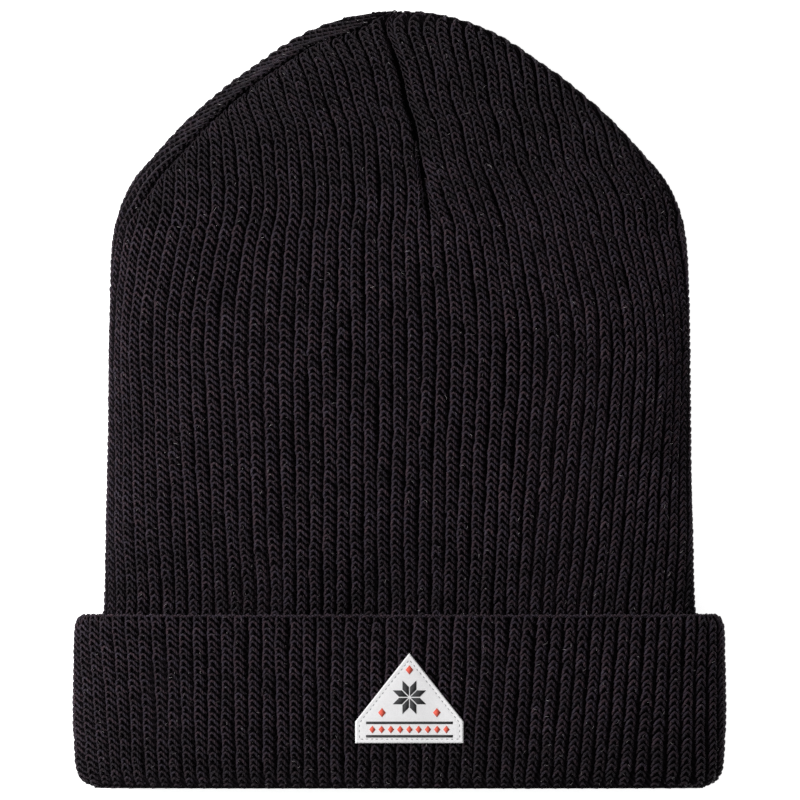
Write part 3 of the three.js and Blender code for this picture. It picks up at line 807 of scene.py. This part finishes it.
def yarn_material():
    """Near-black spun yarn: two twisted plies, a little uneven in how dark and how warm they are."""
    sheen = {"Sheen Weight": 0.03, "Sheen Tint": (0.9, 0.84, 0.9, 1)}
    material, tree, shader = principled("yarn", 0.72, 0.26, **sheen)
    spread = value_node(tree, "MULTIPLY", shade_value(tree), 0.6)
    factor = value_node(tree, "MULTIPLY_ADD", noise(tree, 90.0, 3.0), 0.5, spread)
    colour = colour_ramp(tree, factor, [
        (0.10, (0.0044, 0.0030, 0.0044)),
        (0.30, (0.0140, 0.0088, 0.0137)),
        (0.45, (0.0224, 0.0146, 0.0222)),
        (0.62, (0.0302, 0.0198, 0.0288)),
        (0.90, (0.0502, 0.0360, 0.0466)),
    ])
    tint = colour_ramp(tree, noise(tree, 620.0, 1.0), [(0.38, (1.0, 0.76, 0.76)), (0.62, (0.80, 0.86, 1.0))])
    tinted = {"Fac": 1.0, "Color1": colour, "Color2": tint}
    blend = add_node(tree, "ShaderNodeMixRGB", tinted, blend_type="MULTIPLY")
    twist_length = 1.1
    length, turn = map_axes(tree, "strand")
    around = value_node(tree, "MULTIPLY", turn, 4 * math.pi)
    twist = value_node(tree, "MULTIPLY_ADD", length, TURN / twist_length, around)
    plies = value_node(tree, "SINE", twist)
    relief = value_node(tree, "MULTIPLY_ADD", noise(tree, 4200.0), 0.8, plies)
    set_inputs(tree, shader, {"Base Color": blend.outputs["Color"], "Normal": bump(tree, relief, 0.12, 0.8)})
    return material


def lint_material():
    """Loose fibres, some as dark as the yarn and some pale."""
    material, tree, shader = principled("loose_fibres", 0.8, 0.2)
    factor = value_node(tree, "MULTIPLY_ADD", noise(tree, 900.0, 1.0), 0.3, shade_value(tree))
    colour = colour_ramp(tree, factor, [
        (0.35, (0.03, 0.024, 0.028)),
        (0.75, (0.13, 0.115, 0.12)),
        (1.0, (0.38, 0.36, 0.36)),
    ])
    set_inputs(tree, shader, {"Base Color": colour, "Normal": bump(tree, noise(tree, 5000.0), 0.03, 0.5)})
    return material


def cloth_material():
    """The cloth behind the loops: rows of small bumps, nearly black where loops cover it, as painted shade
    for the gaps between the loops, and lighter where nothing covers it.
    """
    material, tree, shader = principled("knit_ground", 0.95, 0.02)
    rib, course = map_axes(tree, "knit")
    slanted = value_node(tree, "MULTIPLY_ADD", value_node(tree, "PINGPONG", rib, 0.5), 2.2, course)
    rows = value_node(tree, "SINE", value_node(tree, "MULTIPLY", slanted, TURN))
    # Covered cloth gets the darkest colours, painted shade for the gaps between the loops; bare cloth gets
    # the lighter ones.
    lit = value_node(tree, "MULTIPLY_ADD", shade_value(tree), 0.8, 0.1)
    spots = value_node(tree, "MULTIPLY_ADD", noise(tree, 700.0), 0.16, -0.08)
    factor = value_node(tree, "ADD", value_node(tree, "MULTIPLY_ADD", rows, 0.1, lit), spots)
    colour = colour_ramp(tree, factor, [
        (0.0, (0.0025, 0.002, 0.0025)),
        (0.2, (0.0075, 0.006, 0.0075)),
        (0.75, (0.016, 0.011, 0.0145)),
        (1.0, (0.034, 0.024, 0.030)),
    ])
    set_inputs(tree, shader, {"Base Color": colour, "Normal": bump(tree, rows, 0.5, 0.8)})
    return material


def rib_depth(keys):
    """How far the cloth behind the loops lies under its face."""
    crest = 0.5 - 0.5 * np.cos(TURN * keys)
    return mix(RIB_GROOVE_DEPTH, RIB_CREST_DEPTH, crest**0.7)


def closed_grid(rings, poles=None):
    """Points and faces of rings of equal length, each run backwards so that the faces look outward.

    Two poles close the ends. Without them the last ring meets the first.
    """
    count = len(rings[0])
    points = np.concatenate([ring[::-1] for ring in rings])
    number = np.arange(len(points)).reshape(len(rings), count)
    beside = np.roll(number, -1, axis=1)
    walls = np.stack([number, beside, np.roll(beside, -1, axis=0), np.roll(number, -1, axis=0)], -1)
    if poles is None:
        return points, [walls.reshape(-1, 4)]
    start = np.stack([beside[0], number[0], np.full(count, len(points))], 1)
    end = np.stack([number[-1], beside[-1], np.full(count, len(points) + 1)], 1)
    return np.concatenate([points, poles]), [walls[:-1].reshape(-1, 4), start, end]


def grid_map(count, courses, poles):
    """The rib key and course number at each corner of a closed grid's faces."""
    keys = RIBS_AROUND - np.arange(count + 1) * RIBS_AROUND / count
    u = np.stack([keys[:-1], keys[1:], keys[1:], keys[:-1]], -1)
    before = courses[:-1] if poles else courses
    after = courses[1:] if poles else np.append(courses[1:], courses[-1])
    v = np.stack([before, before, after, after], -1)
    walls = np.stack(np.broadcast_arrays(u[None], v[:, None]), -1).reshape(-1, 2)
    if not poles:
        return walls
    start = np.stack([u[:, [1, 0, 0]], np.full((count, 3), courses[0])], -1)
    end = np.stack([u[:, [0, 1, 1]], np.full((count, 3), courses[-1])], -1)
    return np.concatenate([walls, start.reshape(-1, 2), end.reshape(-1, 2)])


def ground_ribs(crown):
    """The rib keys and arc lengths of points right round a crown."""
    keys, arcs = [], []
    for panel, ribs in enumerate(PANELS.values()):
        count = ribs * POINTS_PER_RIB
        first, last = crown.first[:, panel, None], crown.last[:, panel, None]
        keys.append(mix(first, last, np.arange(count) / count))
        arcs.append(crown.arcs(panel, keys[-1]))
    return np.concatenate(keys, 1), np.concatenate(arcs, 1)


def crown_outer_ground(along):
    """The outer face of the cloth behind the crown's loops."""
    crown = Crown(along)
    keys, arcs = ground_ribs(crown)
    thickness = (crown.sections.size["top"] - crown.sections.size["bottom"])[:, None]
    steep = np.abs(crown.sections.points(arcs)[1][..., 0])
    at_tip = smooth(along, *GROUND_TIP)[:, None]
    depth = rib_depth(keys) * np.clip(thickness / GROUND_FULL_THICKNESS, 0.3, 1)
    depth = depth * (1 - CROWN_EDGE_SHALLOW * steep) * (1 - CROWN_TIP_SHALLOW * at_tip)
    depth = depth - GROUND_RIM_LIFT * steep
    depth[along < GROUND_RIBS_END] = 0
    return crown.place(arcs, depth)


def crown_inner_ground(along):
    """The inner face of the crown's cloth."""
    crown, inside = Crown(along), Sections(along, crown_inner_size(along))
    crown.sections.size = inside.size  # for the depth of its darts
    keys, arcs = ground_ribs(crown)
    points, out = inside.points(arcs * (inside.total / crown.sections.total)[:, None])
    raised = smooth(along, 12, 20)[:, None]
    relief = INNER_RELIEF * np.cos(TURN * keys) * raised
    uneven = unevenness(points[..., 0], along[:, None], out) * clear_of_tip(along)[:, None] * raised
    return points - out * (relief + uneven + crown.sunk(arcs))[..., None]


def crown_ground(material):
    """The crown's cloth as one hollow shell: down its outer face from the tip, and up its inner face."""
    tip_reach = 16.0
    by_tip = CAP_LENGTH - tip_reach * np.linspace(0.12, 1, 12) ** 2
    lower = np.arange(CAP_LENGTH - tip_reach - 2, GROUND_RIBS_END, -GROUND_STEP)
    outer_along = np.concatenate([by_tip, lower, [40, 25, CROWN_FOOT]])
    inner_along = np.concatenate([[CROWN_FOOT], np.arange(20, 232, 5.0), [234, 236.5]])
    outer, inner = crown_outer_ground(outer_along), crown_inner_ground(inner_along)
    end = crown_inner_size(inner_along[-1:])
    outer_pole, inner_pole = CAP_LENGTH - 1.2, 238.0
    poles = np.array([
        [0, outer_pole - CAP_LENGTH / 2, TIP_HEIGHT],
        [0, inner_pole - CAP_LENGTH / 2, mix(end["bottom"][0], end["top"][0], 0.5)],
    ])
    points, faces = closed_grid([*outer, *inner], poles)
    courses = np.concatenate([outer_along, 2 * CROWN_FOOT - inner_along]) / COURSE
    uv = grid_map(outer.shape[1], courses, True)
    # 1 on the bare inner face; 0 on the outer face, whose near-black colour is painted shade between the
    # loops.
    bare = np.concatenate([np.zeros(outer[..., 0].size), np.ones(inner[..., 0].size), [0, 1]])
    piece = make_piece("crown_ground", points, faces, material, (("knit", uv),), bare)
    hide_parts("crown")


def cuff_ground(material):
    """The cuff's cloth: down the outer layer, round the fold, and back up between the layers."""
    count = RIBS_AROUND * POINTS_PER_RIB
    turn, back = np.linspace(0, math.pi, 11), np.linspace(0, math.pi, 6)
    inside, top = CUFF_WALL_SHARE, CUFF_HEIGHT
    rise = np.arange(top - 0.6, FOLD_DEPTH + 1, -GROUND_STEP)
    # Each part of the way round the cloth: its places along the cap, its depths, and whether it has ribs.
    parts = [
        (rise, np.zeros(len(rise)), True),
        (FOLD_DEPTH * (1 - np.sin(turn)), (1 - np.cos(turn)) / 2, True),
        ([LIP_END, LIP_END], [1, 1 - inside], False),
        (FOLD_DEPTH - (FOLD_DEPTH - WALL) * np.sin(back), 0.5 - (inside - 0.5) * np.cos(back), False),
        ([20, 40, top - 1, top - 0.5], [inside, inside, inside, inside * 0.75], False),
    ]
    along, depth = (np.concatenate([part[i] for part in parts]) for i in (0, 1))
    ribbed = np.concatenate([np.full(len(part[0]), part[2]) for part in parts])[:, None]
    sections = Sections(along, cuff_size(along, depth))
    keys = np.arange(count) * RIBS_AROUND / count
    points, out = sections.points(cuff_arcs(sections, keys))
    steep = np.abs(out[..., 0])
    at_fold = 1 - smooth(along, 0, 7)[:, None]
    shallow = 1 - np.maximum(CUFF_EDGE_SHALLOW * steep, CUFF_FOLD_SHALLOW * at_fold)
    at_top = smooth(along, top - 5, top - 0.5)[:, None] * np.clip(0.3 - out[..., 2], 0, 1)
    shallow = shallow * (1 - CUFF_TOP_SHALLOW * at_top)
    relief = (rib_depth(keys)[None] * shallow - CUFF_RIM_LIFT * steep) * ribbed
    outer = (depth < 0.5)[:, None] * ribbed
    uneven = cuff_unevenness(points, along[:, None], out) * outer * clear_of_floor(points[..., 2])
    across = depth[:, None] * math.pi
    points = points - out * (relief * np.cos(across) + uneven)[..., None]
    points[..., 1] += relief * np.sin(across)
    made, faces = closed_grid(points)
    steps = np.hypot(np.diff(along), np.diff(depth) * MAP_DEPTH)
    uv = grid_map(count, -np.concatenate([[0], np.cumsum(steps)]) / COURSE, False)
    # 1 on the bare inner face; 0 elsewhere, whose near-black colour is painted shade between the loops.
    bare = np.repeat((depth > 0.8).astype(float), count)
    piece = make_piece("cuff_ground", made, faces, material, (("knit", uv),), bare)
    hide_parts("cuff")


def lean_across(x, upright):
    """How much loops lean: most of all at the left edge, and hardly where they are upright."""
    return 1 + LEFT_LEAN * (1 - smooth(x, *LEFT_EDGE)) - UPRIGHT_SHARE * upright


def crown_lean(loops):
    """The loops lean, but less at the crown's lower right and next to the cuff."""
    x, along = loops[0][:, 0], loops[4]
    upright = smooth(x, *CROWN_UPRIGHT) * (1 - smooth(along, *CROWN_UPRIGHT_END))
    return lean_across(x, upright) * mix(CROWN_FOOT_LEAN, 1, smooth(along, *CROWN_FOOT_REACH))


def cuff_lean(loops):
    """The loops lean, but less at the cuff's right and next to the fold."""
    x, along = loops[0][:, 0], loops[4]
    upright = smooth(x, *CUFF_UPRIGHT)
    return lean_across(x, upright) * mix(mix(*FOLD_LEAN, upright), 1, smooth(along, *FOLD_REACH))


def build_crown(yarn, ground, lint):
    crown_ground(ground)
    tip_reach = 14.3
    rows = np.arange(CROWN_ROWS_START, CAP_LENGTH - tip_reach - ROW_SPACING, ROW_SPACING)
    tip_rows = CAP_LENGTH - tip_reach * np.linspace(1, 0.05, 60) ** 2
    crown = Crown(np.concatenate([rows, tip_rows]))
    found = []
    for panel, name in enumerate(PANELS):
        loops = crown_loops(crown, panel)
        found.append(loops)
        look = (crown_lean(loops), CROWN_RIM_LIFT, CROWN_PAINTED_SHADE)
        make_loops(f"crown_loops_{name}", loops, yarn, "knit_crown", *look)
    make_lint("crown_lint", joined(found), lint)


def edge_chain(yarn):
    """The row of small links along the cuff's upper edge."""
    links = LINKS_PER_RIB * RIBS_AROUND
    keys = np.arange(links) / LINKS_PER_RIB
    row = np.array([CUFF_HEIGHT])
    edge = Sections(row, cuff_size(row, 0.0))
    lines = []
    for shift, rise, sink in zip(*EDGE_LINK.values()):
        points, out = edge.points(cuff_arcs(edge, np.mod(keys + shift, RIBS_AROUND)))
        point = points[0] - out[0] * (sink + random.normal(0, EDGE_JITTER["sink"], (links, 1)))
        rise = rise + random.normal(0, EDGE_JITTER["rise"], links)
        point[:, 1] += rise + EDGE_WAVE * np.cos(TURN * keys)
        lines.append(point)
    lines = np.stack(lines, 1)
    sizes = 1 + random.normal(0, EDGE_JITTER["size"], (links, 1))
    radii = np.full(lines.shape[:2], EDGE_RADIUS) * sizes
    lines[..., 2] = np.maximum(lines[..., 2], radii * RESTING_SHARE)
    make_tubes("cuff_edge_chain", lines, radii, out[0], yarn)


def build_cuff(yarn, ground, lint):
    cuff_ground(ground)
    edge_chain(yarn)
    cuff = Cuff(ROW_SPACING)
    ribs = {"front": np.arange(FRONT_RIBS), "back": np.arange(FRONT_RIBS, RIBS_AROUND)}
    for name, keys in ribs.items():
        loops = cuff_loops(cuff, keys + 0.5)
        look = (cuff_lean(loops), CUFF_RIM_LIFT, CUFF_PAINTED_SHADE)
        make_loops(f"cuff_loops_{name}", loops, yarn, "knit_cuff", *look)
        make_lint(f"cuff_lint_{name}", loops, lint)


def woven_material(name, dark, pale):
    """Fine woven threads of one colour, a little uneven."""
    material, tree, shader = principled(name, 0.75, 0.3)
    threads = []
    for axis, pitch in zip(axes(tree, object_place(tree)), WEAVE_PITCH):
        turn = value_node(tree, "MULTIPLY", axis, TURN / (pitch * MM))
        threads.append(value_node(tree, "SINE", turn))
    weave = value_node(tree, "MULTIPLY", *threads)
    fibres = noise(tree, 2600.0)
    factor = value_node(tree, "MULTIPLY_ADD", weave, 0.2, fibres)
    colour = colour_ramp(tree, factor, [(0.25, dark), (0.75, pale)])
    relief = value_node(tree, "MULTIPLY_ADD", fibres, 0.6, weave)
    set_inputs(tree, shader, {"Base Color": colour, "Normal": bump(tree, relief, 0.06, 0.7)})
    return material


def label_corners(inset=0.0):
    """The label's corners in turn, measured from the middle of its foot, or those of a line inside it."""
    half = LABEL_WIDTH / 2
    corners = np.array([(-half, 0), (half, 0), (half, LABEL_SIDE), (0, LABEL_HEIGHT), (-half, LABEL_SIDE)])
    edge = unit(np.roll(corners, -1, axis=0) - corners)
    inward = np.stack([-edge[:, 1], edge[:, 0]], 1)
    before = np.roll(inward, 1, axis=0)
    return corners + inset * (inward + before) / (1 + (inward * before).sum(1, keepdims=True))


def inside_label(u, v):
    """How far places on the label lie from its outline."""
    corners = label_corners()
    edge = unit(np.roll(corners, -1, axis=0) - corners)
    return np.min([ex * (v - y) - ey * (u - x) for (x, y), (ex, ey) in zip(corners, edge)], axis=0)


def on_label(u, v, lift):
    """Points over the cuff's face at places on the label."""
    x, along = LABEL_CENTRE_X + u, LABEL_FOOT + v
    rows = np.ravel(along)
    sections = Sections(rows, cuff_size(rows, 0.0))
    points, out = sections.points(sections.arc_at_x(np.ravel(x), True)[:, None])
    height = points[..., 2] - cuff_unevenness(points, rows[:, None], out)
    return np.stack([x, along - CAP_LENGTH / 2, height.reshape(np.shape(x)) + lift], -1)


def build_label(material):
    """The label's body, with rounded edges and a slight channel along its seam."""
    columns_across, rows_up = 100, 84
    share, level = np.linspace(0, 1, columns_across + 1), np.linspace(0, 1, rows_up + 1)
    height = mix(LABEL_SIDE, LABEL_HEIGHT, 1 - np.abs(2 * share - 1))
    v = level[:, None] * height[None, :]
    u = np.broadcast_to(LABEL_WIDTH * (share - 0.5), v.shape)
    inside = inside_label(u, v)
    rounding = LABEL_ROUNDING * np.clip(1 - inside / LABEL_ROUNDING, 0, 1) ** 2
    channel = SEAM_CHANNEL * np.exp(-(((inside - SEAM_INSET) / SEAM_CHANNEL_WIDTH) ** 2))
    top = on_label(u, v, LABEL_LIFT - rounding - channel)
    number = np.arange(v.size).reshape(v.shape)
    rim = np.concatenate([number[0, :-1], number[:-1, -1], number[-1, :0:-1], number[:0:-1, 0]])
    under = on_label(u, v, LABEL_UNDERSIDE).reshape(-1, 3)[rim]
    ring = v.size + np.arange(len(rim))
    faces = quads(number[:-1, :-1], number[:-1, 1:], number[1:, 1:], number[1:, :-1])
    sides = quads(ring, np.roll(ring, -1), np.roll(rim, -1), rim)
    points = np.concatenate([top.reshape(-1, 3), under])
    piece = make_piece("woven_label", points, [faces, sides, ring[None, ::-1]], material)
    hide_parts("label")
    return piece


def make_ornament(name, shapes, material):
    """Thin woven shapes on the label's face, as arrays of outlines that run along a shape and back again."""
    points, faces, used = [], [], 0
    for outlines in shapes:
        u, v = outlines[..., 0], outlines[..., 1]
        top = on_label(u, v, LABEL_LIFT + ORNAMENT_RISE)
        foot = on_label(u, v, LABEL_LIFT - ORNAMENT_FOOT)
        number = used + np.arange(u.size).reshape(u.shape)
        beside = np.roll(number, -1, axis=1)
        below, below_beside = number + u.size, beside + u.size
        i = np.arange(u.shape[1] // 2 - 1)
        strip = np.stack([i, i + 1, u.shape[1] - 2 - i, u.shape[1] - 1 - i], -1)
        face, back = number[:, strip], below[:, strip[:, ::-1]]
        faces += [face.reshape(-1, 4), back.reshape(-1, 4), quads(below, below_beside, beside, number)]
        points += [top.reshape(-1, 3), foot.reshape(-1, 3)]
        used += 2 * u.size
    return make_piece(name, np.concatenate(points), faces, material)


def lozenges(places, half_width, half_height):
    """Upright diamonds."""
    corner = np.array([(0, -half_height), (half_width, 0), (0, half_height), (-half_width, 0)])
    return np.array(places, float)[:, None, :] + corner[None]


def star(centre, side):
    """An eight-petalled star of the kind used in traditional knitting, each petal a rhombus."""
    turn = np.arange(9) * math.pi / 4
    ways = side * np.stack([np.cos(turn), np.sin(turn)], 1)
    one, other = ways[:-1], ways[1:]
    petals = np.stack([np.zeros_like(one), one, one + other, other], 1)
    return mix(petals.mean(1, keepdims=True), petals, PETAL_SHARE) + np.array(centre)


def bars(heights, half_length, half_width):
    """Level lines right across the label, with enough corners to follow it."""
    run = np.linspace(-half_length, half_length, 12)
    outline = np.stack([np.append(run, run[::-1]), np.repeat([-half_width, half_width], len(run))], 1)
    return np.array([outline + np.array([0, height]) for height in heights])


def build_ornament():
    """A star over a band of small diamonds, in the label's two colours."""
    band, bar_gap = 4.3, 2.1
    row = [(x, band) for x in np.linspace(-11.6, 11.6, 9)]
    dark = [star((0, 14.4), 3.3), bars((band - bar_gap, band + bar_gap), 13.6, 0.4)]
    red = [lozenges(row, 1.0, 1.2), lozenges([(-8.6, 9.6), (8.6, 9.6), (0, 23.0)], 1.2, 1.45)]
    grey = woven_material("woven_grey", (0.035, 0.035, 0.038), (0.06, 0.06, 0.063))
    warm = woven_material("woven_red", (0.80, 0.10, 0.065), (0.93, 0.17, 0.11))
    return [make_ornament("label_ornament_grey", dark, grey), make_ornament("label_ornament_red", red, warm)]


def build_seam():
    """Short stitches round the label, a little inside its edge."""
    corners = label_corners(SEAM_INSET)
    places, ways = [], []
    for a, b in zip(corners, np.roll(corners, -1, axis=0)):
        count = round(math.dist(a, b) / SEAM_PITCH)
        places.append(mix(a, b, (np.arange(count)[:, None] + 0.5) / count))
        ways.append(np.repeat(unit(b - a)[None], count, 0))
    places, ways = np.concatenate(places), np.concatenate(ways)
    places = places + random.normal(0, 0.04, places.shape)
    floor = LABEL_LIFT - SEAM_CHANNEL
    lines = np.stack([
        on_label(*(places + ways * SEAM_STITCH * step).T, floor + lift) for step, lift in SEAM_LINE
    ], 1)
    radii = np.full(lines.shape[:2], SEAM_THREAD)
    out = np.repeat(np.array([[0.0, 0.0, 1.0]]), len(lines), 0)
    # The thread is grey rather than white: a real thread, with its grey as painted shade for the needle
    # holes between the stitches.
    thread = woven_material("seam_thread_painted_shade", (0.36, 0.36, 0.37), (0.50, 0.50, 0.51))
    return make_tubes("label_seam", lines, radii, out, thread)


def build_floor():
    """A pale floor that glows, so that it looks as white as the photo's background."""
    look = {"Base Color": (0.93, 0.93, 0.93, 1), "Emission Color": (1, 1, 1, 1), "Emission Strength": 0.84}
    material = principled("pale_floor", 0.9, 0.2, **look)[0]
    size = 6.0
    corners = [(-size, -size, 0), (size, -size, 0), (size, size, 0), (-size, size, 0)]
    mesh = bpy.data.meshes.new("floor")
    mesh.from_pydata(corners, [], [(0, 1, 2, 3)])
    mesh.materials.append(material)
    floor = add_object("floor", mesh)
    floor.location.z = -0.0002


def build_light():
    """Even light from all round, a strong lamp low on the left and a weak one on the right."""
    world = bpy.data.worlds.new("studio")
    bpy.context.scene.world = world
    world.use_nodes = True
    background = world.node_tree.nodes["Background"]
    set_inputs(world.node_tree, background, {"Color": (1, 1, 1, 1), "Strength": 0.2})
    lamps = [
        ("key", (-0.85, 0.18, 0.72), 0.5, 15.4),
        ("fill", (0.75, -0.2, 1.0), 0.8, 1.5),
    ]
    for name, place, size, power in lamps:
        data = bpy.data.lights.new(name, "AREA")
        data.shape = "SQUARE"
        data.size = size
        data.energy = power
        lamp = add_object(name, data)
        lamp.location = place
        lamp.rotation_euler = (-lamp.location).to_track_quat("-Z", "Y").to_euler()


def build_camera():
    """A camera straight above the cap, with the photo's framing at the height of the cap's outline."""
    frame_width = 251.5
    outline_height = 13.0
    data = bpy.data.cameras.new("camera")
    data.lens = 900
    data.clip_end = 20
    distance = frame_width * data.lens / data.sensor_width + outline_height
    camera = add_object("camera", data)
    camera.location = (0.16 * MM, -0.16 * MM, distance * MM)
    bpy.context.scene.camera = camera


build_camera()
build_light()
build_floor()
yarn = yarn_material()
ground = cloth_material()
lint = lint_material()
build_crown(yarn, ground, lint)
build_cuff(yarn, ground, lint)
label = build_label(woven_material("woven_white", (0.88, 0.87, 0.88), (0.96, 0.955, 0.965)))
on_it = [*build_ornament(), build_seam()]
bpy.context.scene.view_settings.view_transform = "Standard"
